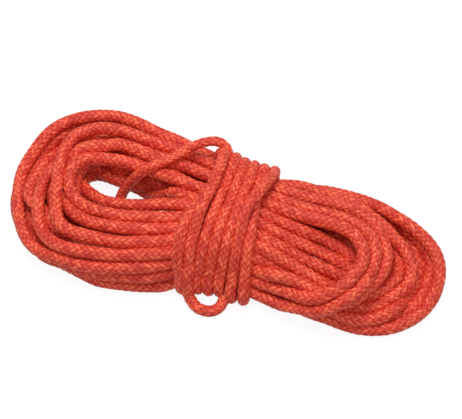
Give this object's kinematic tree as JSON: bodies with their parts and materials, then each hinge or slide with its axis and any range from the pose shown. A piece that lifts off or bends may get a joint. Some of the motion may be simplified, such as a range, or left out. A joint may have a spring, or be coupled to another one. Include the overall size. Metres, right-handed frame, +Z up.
{
  "type": "climbing rope hank",
  "caption": "Climbing rope laid up in a long hank, bound at the waist with its own wraps, with a loose bight and a tail over the back.",
  "frame": {"origin": "on the surface the hank lies on, below the middle of its bounding box", "axes": "+X along the hank towards its narrower bend, +Y across it away from the loose bight, +Z up"},
  "size_m": [0.3826, 0.1762, 0.0719],
  "materials": {
    "rope": "braided orange-red polyamide sheath, slight sheen",
    "core": "twisted undyed polyamide strands",
    "melted_cap": "smooth melted polyamide"
  },
  "bodies": {
    "root": {"hank_loops": "rope", "waist_wraps": "rope", "lead_over_top": "rope", "tail_over_back": "rope", "loose_bight": "rope", "eye_end_sheath": "rope", "eye_end_core": "core", "eye_end_cap": "melted_cap", "tucked_end_sheath": "rope", "tucked_end_core": "core", "tucked_end_cap": "melted_cap"}
  },
  "joints": []
}
